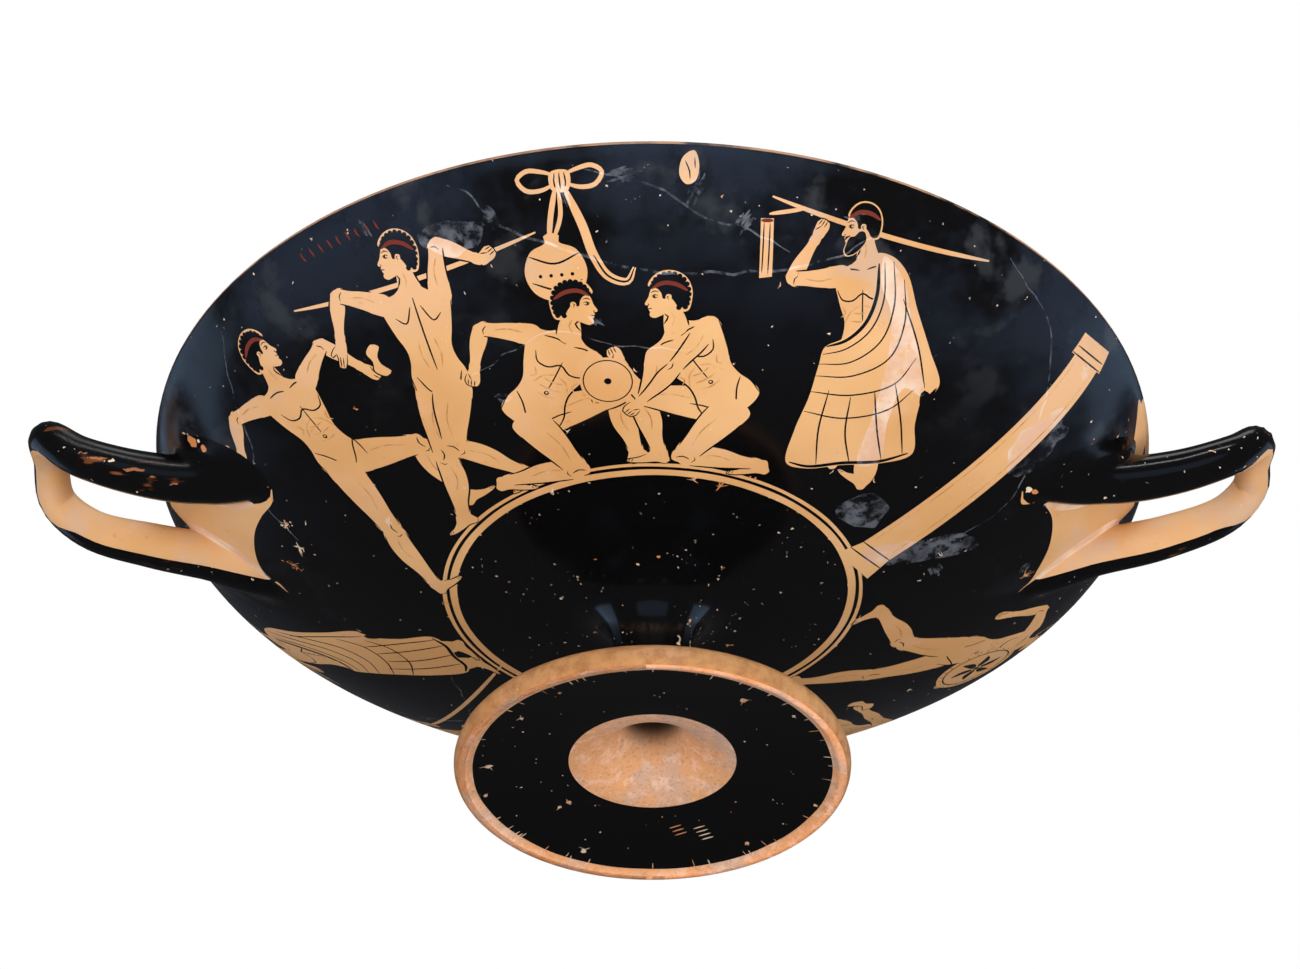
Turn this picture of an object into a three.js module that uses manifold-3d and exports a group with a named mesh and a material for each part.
// A Greek wine cup (kylix, type B): a wide shallow bowl that runs in one curve into a thin stem,
// a disc foot with a hollow underneath, and two upturned loop handles. The potter throws bowl and
// foot, rolls the handles and joins them with slip, and firing makes all of it one piece of clay.
// Millimetres, +Z up. The origin is the centre of the foot's standing surface, +X runs to a handle.
import * as THREE from "three";
import { mergeVertices } from "three/addons/utils/BufferGeometryUtils.js";
import Module from "manifold-3d";

// ---- driving dimensions -------------------------------------------------------------------
const BOWL = {
  curveRadius: 163.3, // horizontal half-axis of the ellipse that the outer wall follows
  curveHeight: 68.4, // its vertical half-axis
  bottomZ: 64.6, // lowest point of that ellipse, hidden inside the top of the stem
  lipZ: 119, // height at which the wall ends and the lip begins
  stemJoinR: 30, // radius at which the underside of the bowl turns down into the stem
  wallAtFloor: 6,
  wallAtLip: 3.6,
};
const STEM = { radius: 11.8, waistZ: 42 }; // thinnest place and its height
const FOOT = {
  radius: 61.7,
  edgeRadius: 4.1, // rounding of the disc's rim
  standOuterR: 60.2,
  standInnerR: 57.6, // the cup stands on the flat ring between these radii
  topZ: 8.2, // height of the disc's upper surface at its rim
};
// The cone under the foot: a wide mouth that narrows to a neck and runs up inside the stem.
const HOLLOW = { mouthR: 26, mouthZ: 5.2, neckR: 6.5, neckZ: 24, topZ: 37 };
const HANDLE = {
  rootAcross: 7.4, // half widths of the arm, level and upright
  rootUpright: 8.4,
  middleAcross: 6.8,
  middleUpright: 7.6,
  tipAcross: 5.6,
  tipUpright: 5.4,
  swell: 0.16, // how much wider the arm is where it meets the wall
  swellAt: 24, // distance from the raw end to the widest place
  swellReach: 16,
};
// Centre line of one arm, from the raw end inside the bowl to the start of the end bar. The two
// loops are rolled and bent by hand, so they differ by two or three millimetres.
const RIGHT_ARM = [
  [104, 31, 92.5], [120, 27, 94], [144, 19.4, 98.6], [167, 17.4, 104.3], [186.5, 16, 112.6], [194.2, 11.8, 119.8],
];
const RIGHT_TIP = [194.2, 0, 121];
const LEFT_ARM = [
  [104, 31, 92.5], [120, 27, 94.2], [142, 21, 97.4], [162, 19.4, 102], [182.5, 19.6, 108.8], [193.4, 16.8, 117.6],
];
const LEFT_TIP = [194.6, 0, 121.8];
const TURN_STEPS = 60; // facets round the wheel-thrown shapes
const HANDLE_STEPS = 44;
const HANDLE_SIDES = 14;

// ---- turned profile -----------------------------------------------------------------------
// Points are (radius, height) pairs.
const at = (r, z) => new THREE.Vector2(r, z);

function samples(curve, steps) {
  return curve.getPoints(steps);
}

function wallHeight(r) {
  const { curveRadius, curveHeight, bottomZ } = BOWL;
  return bottomZ + curveHeight * (1 - Math.sqrt(1 - (r / curveRadius) ** 2));
}

function wallRadius(z) {
  const { curveRadius, curveHeight, bottomZ } = BOWL;
  const drop = 1 - (z - bottomZ) / curveHeight;
  return curveRadius * Math.sqrt(1 - drop * drop);
}

// Unit normal of the outer wall, pointing out of the clay.
function wallNormal(r) {
  const { curveRadius, curveHeight } = BOWL;
  const slope = (curveHeight * r) / curveRadius ** 2 / Math.sqrt(1 - (r / curveRadius) ** 2);
  return at(slope, -1).normalize();
}

// A point at a share of the wall's thickness below the outer surface.
function inWall(r, share) {
  const { wallAtFloor, wallAtLip } = BOWL;
  const thickness = THREE.MathUtils.lerp(wallAtFloor, wallAtLip, r / wallRadius(BOWL.lipZ));
  return at(r, wallHeight(r)).addScaledVector(wallNormal(r), -share * thickness);
}

// Radii that crowd together towards the lip, where the wall bends most.
function wallRadii(from, steps) {
  const angleOf = (r) => Math.asin(r / BOWL.curveRadius);
  const start = angleOf(from);
  const end = angleOf(wallRadius(BOWL.lipZ));
  return Array.from({ length: steps + 1 }, (_, i) => {
    return BOWL.curveRadius * Math.sin(THREE.MathUtils.lerp(start, end, i / steps));
  });
}

function footAndStemProfile() {
  const { radius, edgeRadius, standOuterR, standInnerR, topZ } = FOOT;
  const { mouthR, mouthZ, neckR, neckZ, topZ: hollowTop } = HOLLOW;
  const hollow = new THREE.CubicBezierCurve(
    at(0, hollowTop), at(neckR, hollowTop - 1), at(neckR, neckZ + 4), at(neckR + 1.5, neckZ - 4),
  );
  const flare = new THREE.CubicBezierCurve(
    at(neckR + 1.5, neckZ - 4), at(neckR + 4, neckZ - 13), at(mouthR - 8, mouthZ + 1.5), at(mouthR, mouthZ),
  );
  const underside = new THREE.QuadraticBezierCurve(
    at(mouthR, mouthZ), at(44, 3.4), at(standInnerR - 1, 1.1),
  );
  const edge = new THREE.CubicBezierCurve(
    at(standOuterR, 0), at(radius + 0.5, edgeRadius * 0.35), at(radius + 0.5, topZ - 1.2), at(radius - 3.2, topZ),
  );
  const top = new THREE.CubicBezierCurve(
    at(radius - 3.2, topZ), at(38, 11.5), at(STEM.radius + 2, 15), at(STEM.radius, STEM.waistZ - 6),
  );
  const { stemJoinR } = BOWL;
  const neck = new THREE.CubicBezierCurve(
    at(STEM.radius, STEM.waistZ - 6), at(STEM.radius - 0.3, STEM.waistZ + 12),
    at(STEM.radius + 1.8, wallHeight(stemJoinR) - 2.4), at(stemJoinR, wallHeight(stemJoinR)),
  );
  return [
    ...samples(hollow, 4),
    ...samples(flare, 5).slice(1),
    ...samples(underside, 2).slice(1),
    at(standInnerR, 0),
    ...samples(edge, 5),
    ...samples(top, 7).slice(1),
    ...samples(neck, 6).slice(1),
  ];
}

function lipProfile() {
  const r = wallRadius(BOWL.lipZ);
  const outer = at(r, BOWL.lipZ);
  const inner = inWall(r, 1);
  const centre = outer.clone().lerp(inner, 0.5);
  const half = outer.distanceTo(inner) / 2;
  const start = Math.atan2(outer.y - centre.y, outer.x - centre.x);
  return [1, 2, 3].map((i) => {
    const angle = start + (i * Math.PI) / 4;
    return centre.clone().add(at(Math.cos(angle), Math.sin(angle)).multiplyScalar(half));
  });
}

function cupProfile() {
  const outside = wallRadii(BOWL.stemJoinR, 13).map((r) => at(r, wallHeight(r)));
  const inside = wallRadii(0, 12).map((r) => inWall(r, 1));
  inside[0].x = 0;
  return [...footAndStemProfile(), ...outside.slice(1), ...lipProfile(), ...inside.reverse()];
}

// Everything above the middle of the wall: it trims the raw handle ends inside the clay.
function trimProfile() {
  const middle = wallRadii(0, 14).map((r) => inWall(r, 0.5));
  middle[0].x = 0;
  const top = BOWL.lipZ + 40;
  return [...middle, at(middle.at(-1).x + 0.1, top), at(0, top)];
}

function turned(profile) {
  const geometry = new THREE.LatheGeometry(profile, TURN_STEPS);
  return geometry.rotateX(Math.PI / 2); // the lathe turns about Y
}

// ---- handles ------------------------------------------------------------------------------
// Centre line of one handle, from arm to arm, in the shape of an upturned horseshoe.
function handleLine(arm, tip) {
  const oneArm = (side) => arm.map(([x, y, z]) => new THREE.Vector3(x, side * y, z));
  const points = [...oneArm(-1), new THREE.Vector3(...tip), ...oneArm(1).reverse()];
  return new THREE.CatmullRomCurve3(points, false, "centripetal");
}

// A value that runs from the root over the middle of the arm to the tip.
function taper(root, middle, tip, share) {
  const { lerp } = THREE.MathUtils;
  return share < 0.5 ? lerp(root, middle, share * 2) : lerp(middle, tip, share * 2 - 1);
}

// A raw roll of clay: a closed cylinder whose rings are laid along the centre line.
function handleGeometry(line) {
  const length = line.getLength();
  const up = new THREE.Vector3(0, 0, 1);
  const geometry = new THREE.CylinderGeometry(1, 1, 1, HANDLE_SIDES, HANDLE_STEPS);
  const places = geometry.getAttribute("position");
  const vertex = new THREE.Vector3();
  for (let i = 0; i < places.count; i++) {
    vertex.fromBufferAttribute(places, i);
    const t = vertex.y + 0.5;
    const tangent = line.getTangentAt(t);
    const across = tangent.clone().cross(up).normalize();
    const upright = across.clone().cross(tangent);
    const fromEnd = Math.min(t, 1 - t);
    const offSwell = Math.abs(fromEnd * length - HANDLE.swellAt) / HANDLE.swellReach;
    const swell = 1 + HANDLE.swell * Math.max(0, 1 - offSwell ** 2);
    const halfAcross = taper(HANDLE.rootAcross, HANDLE.middleAcross, HANDLE.tipAcross, 2 * fromEnd);
    const halfUpright = taper(HANDLE.rootUpright, HANDLE.middleUpright, HANDLE.tipUpright, 2 * fromEnd);
    const place = line.getPointAt(t);
    place.addScaledVector(across, vertex.x * halfAcross * swell);
    place.addScaledVector(upright, vertex.z * halfUpright * swell);
    places.setXYZ(i, place.x, place.y, place.z);
  }
  return geometry;
}

// ---- joining ------------------------------------------------------------------------------
const wasm = await Module();
wasm.setup();

function solid(geometry) {
  const bare = geometry.clone();
  bare.deleteAttribute("normal");
  bare.deleteAttribute("uv");
  const merged = mergeVertices(bare, 1e-3);
  const mesh = new wasm.Mesh({
    numProp: 3,
    vertProperties: merged.getAttribute("position").array,
    triVerts: new Uint32Array(merged.index.array),
  });
  return new wasm.Manifold(mesh);
}

function toGeometry(manifold) {
  const { vertProperties, triVerts } = manifold.getMesh();
  const geometry = new THREE.BufferGeometry();
  geometry.setAttribute("position", new THREE.BufferAttribute(vertProperties, 3));
  geometry.setIndex(new THREE.BufferAttribute(triVerts, 1));
  geometry.computeVertexNormals();
  return geometry;
}

const trim = solid(turned(trimProfile()));
const rightHandle = solid(handleGeometry(handleLine(RIGHT_ARM, RIGHT_TIP)));
const leftHandle = solid(handleGeometry(handleLine(LEFT_ARM, LEFT_TIP))).rotate([0, 0, 180]);
let cup = solid(turned(cupProfile()));
for (const handle of [rightHandle, leftHandle]) {
  cup = cup.add(handle.subtract(trim));
}

const glaze = new THREE.MeshStandardMaterial({ color: 0x14151a, roughness: 0.25, metalness: 0 });
const kylix = new THREE.Mesh(toGeometry(cup), glaze);
kylix.name = "kylix_cup";

const group = new THREE.Group();
group.add(kylix);
export default group;
